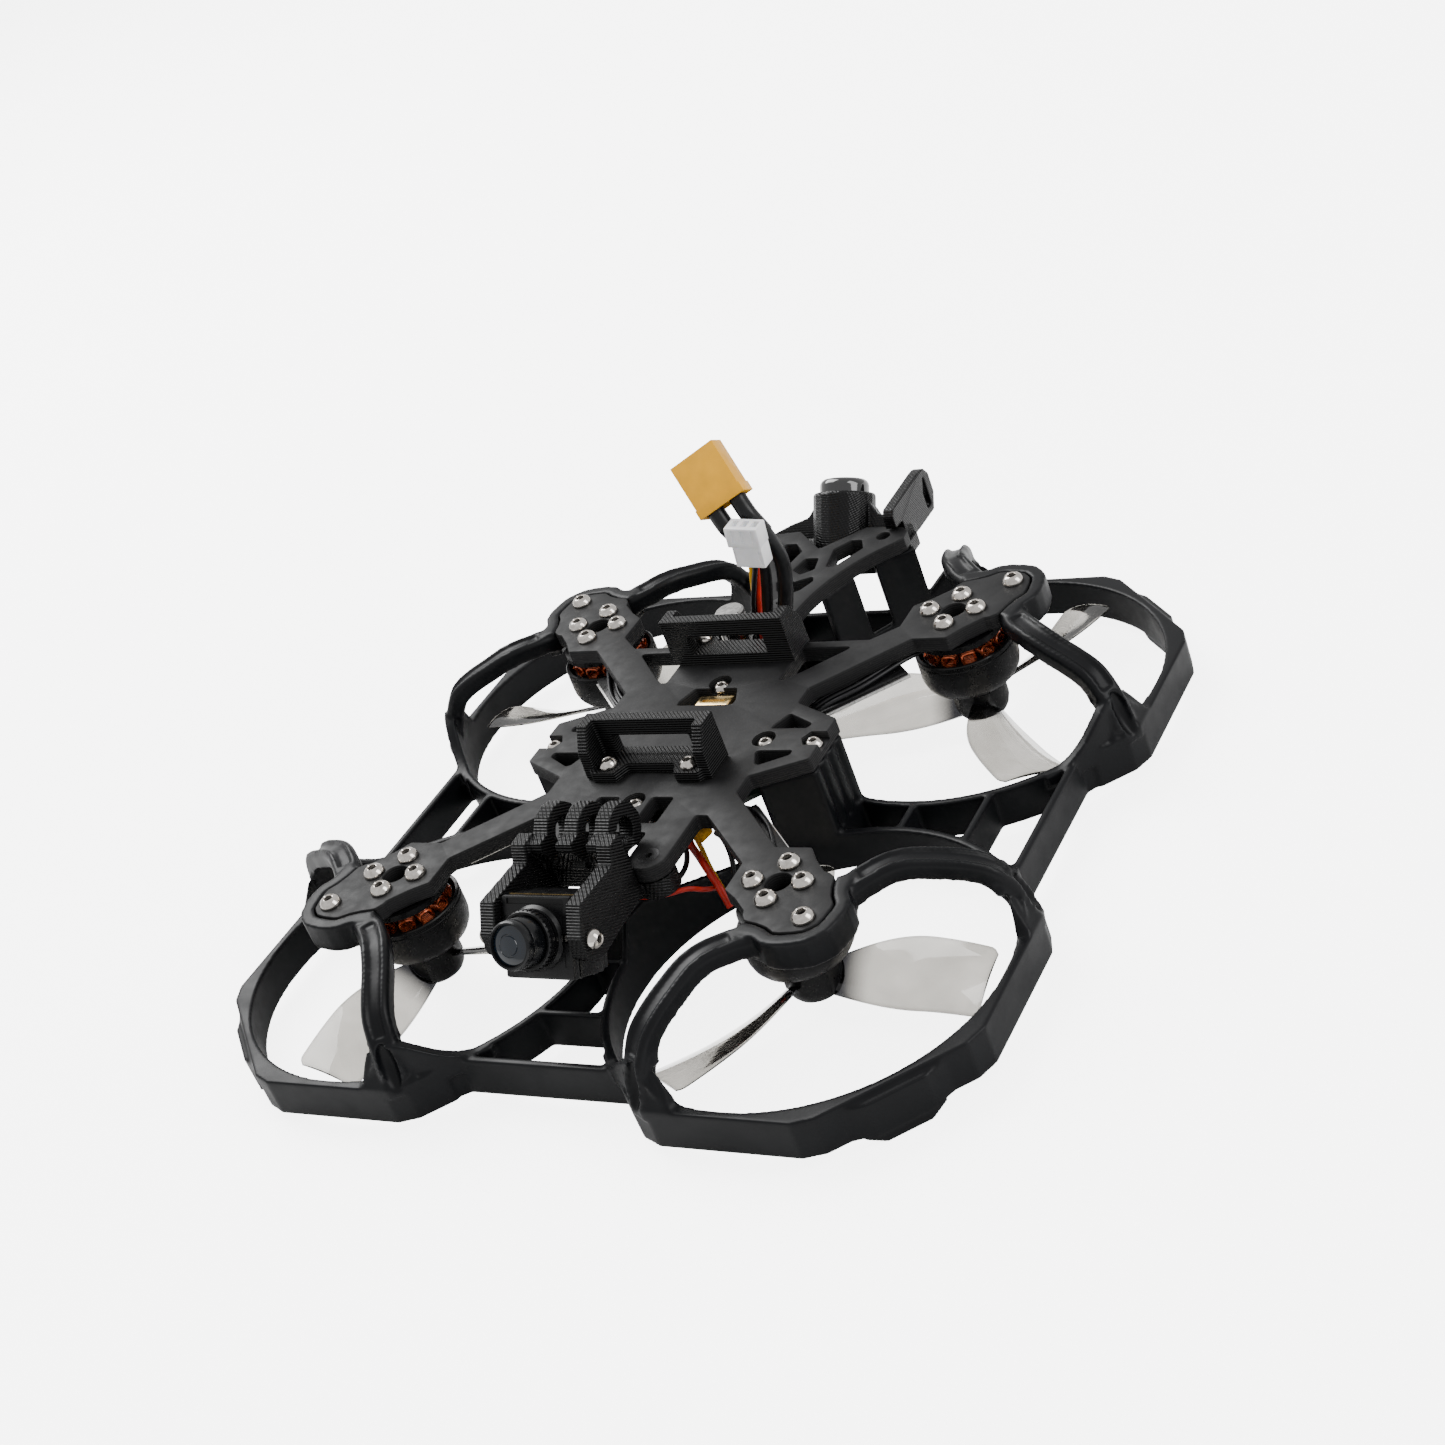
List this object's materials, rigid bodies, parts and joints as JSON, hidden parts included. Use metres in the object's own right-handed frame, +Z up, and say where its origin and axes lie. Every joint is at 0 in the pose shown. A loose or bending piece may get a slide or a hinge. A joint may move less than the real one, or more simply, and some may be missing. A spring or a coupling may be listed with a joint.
{
  "type": "ducted fpv drone",
  "caption": "Compact first-person-view racing quadcopter: moulded ducts, X-shaped top plate, underslung pusher motors, tilting nose camera and battery brackets.",
  "frame": {"origin": "middle of the whole drone without its battery leads, on the surface that its four feet stand on", "axes": "+Z up, -Y towards the camera (front), +X to the right seen from behind"},
  "size_m": [0.1528, 0.1644, 0.0653],
  "materials": {
    "carbon_plate": "satin moulded carbon-composite plate with fine laminate lines on its edges",
    "guard_plastic": "satin injection-moulded dark grey nylon",
    "printed_plastic": "flexible printed plastic with visible layer lines",
    "camera_case": "black moulded camera case",
    "lens_glass": "coated lens in a black barrel",
    "lens_ring": "knurled black ring",
    "screw_steel": "bright steel button heads",
    "antenna_cap": "glossy black cap",
    "circuit_board": "solder mask with small components",
    "port_gold": "gold plated shell",
    "capacitor_can": "bright can",
    "connector_yellow": "yellow nylon",
    "plug_white": "white nylon",
    "lead_black": "black silicone insulation",
    "balance_wire": "red, yellow and black insulation",
    "motor_windings": "enamelled copper",
    "motor_bell": "black anodised",
    "propeller_smoke": "smoke-clear polycarbonate",
    "light_strip": "light strip in a pale diffuser"
  },
  "bodies": {
    "airframe": {"main_plate": "carbon_plate", "rear_deck": "carbon_plate", "prop_guard": "guard_plastic", "battery_bracket_front": "printed_plastic", "battery_bracket_rear": "printed_plastic", "camera_mount": "printed_plastic", "antenna_mount": "printed_plastic", "wing_screw_left": "screw_steel", "wing_screw_right": "screw_steel", "antenna_cap": "antenna_cap", "flight_controller": "circuit_board", "usb_port": "port_gold", "capacitor": "capacitor_can", "power_connector": "connector_yellow", "balance_plug": "plug_white", "power_lead_left": "lead_black", "power_lead_right": "lead_black", "balance_lead": "balance_wire", "motor_stator_front_right": "motor_windings", "light_strip_front_right": "light_strip", "motor_screw_front_right_1": "screw_steel", "motor_screw_front_right_2": "screw_steel", "motor_screw_front_right_3": "screw_steel", "motor_screw_front_right_4": "screw_steel", "guard_screw_front_right": "screw_steel", "motor_stator_front_left": "motor_windings", "light_strip_front_left": "light_strip", "motor_screw_front_left_1": "screw_steel", "motor_screw_front_left_2": "screw_steel", "motor_screw_front_left_3": "screw_steel", "motor_screw_front_left_4": "screw_steel", "guard_screw_front_left": "screw_steel", "motor_stator_rear_right": "motor_windings", "light_strip_rear_right": "light_strip", "motor_screw_rear_right_1": "screw_steel", "motor_screw_rear_right_2": "screw_steel", "motor_screw_rear_right_3": "screw_steel", "motor_screw_rear_right_4": "screw_steel", "guard_screw_rear_right": "screw_steel", "motor_stator_rear_left": "motor_windings", "light_strip_rear_left": "light_strip", "motor_screw_rear_left_1": "screw_steel", "motor_screw_rear_left_2": "screw_steel", "motor_screw_rear_left_3": "screw_steel", "motor_screw_rear_left_4": "screw_steel", "guard_screw_rear_left": "screw_steel"},
    "camera": {"camera_body": "camera_case", "camera_lens": "lens_glass", "lens_lock_ring": "lens_ring", "camera_screw_left": "screw_steel", "camera_screw_right": "screw_steel"},
    "rotor_front_right": {"motor_bell_front_right": "motor_bell", "propeller_front_right": "propeller_smoke"},
    "rotor_front_left": {"motor_bell_front_left": "motor_bell", "propeller_front_left": "propeller_smoke"},
    "rotor_rear_right": {"motor_bell_rear_right": "motor_bell", "propeller_rear_right": "propeller_smoke"},
    "rotor_rear_left": {"motor_bell_rear_left": "motor_bell", "propeller_rear_left": "propeller_smoke"}
  },
  "joints": [
    {"name": "rotor_spin_front_right", "type": "hinge", "parent": "airframe", "child": "rotor_front_right", "pos_m": [0.0396, -0.0454, 0.015], "axis": [0, 0, 1], "continuous": true},
    {"name": "rotor_spin_front_left", "type": "hinge", "parent": "airframe", "child": "rotor_front_left", "pos_m": [-0.0396, -0.0454, 0.015], "axis": [0, 0, 1], "continuous": true},
    {"name": "rotor_spin_rear_right", "type": "hinge", "parent": "airframe", "child": "rotor_rear_right", "pos_m": [0.0396, 0.0338, 0.015], "axis": [0, 0, 1], "continuous": true},
    {"name": "rotor_spin_rear_left", "type": "hinge", "parent": "airframe", "child": "rotor_rear_left", "pos_m": [-0.0396, 0.0338, 0.015], "axis": [0, 0, 1], "continuous": true},
    {"name": "camera_tilt", "type": "hinge", "parent": "airframe", "child": "camera", "pos_m": [0, -0.0594, 0.0252], "axis": [-1, 0, 0], "range_deg": [-30, 30]}
  ]
}
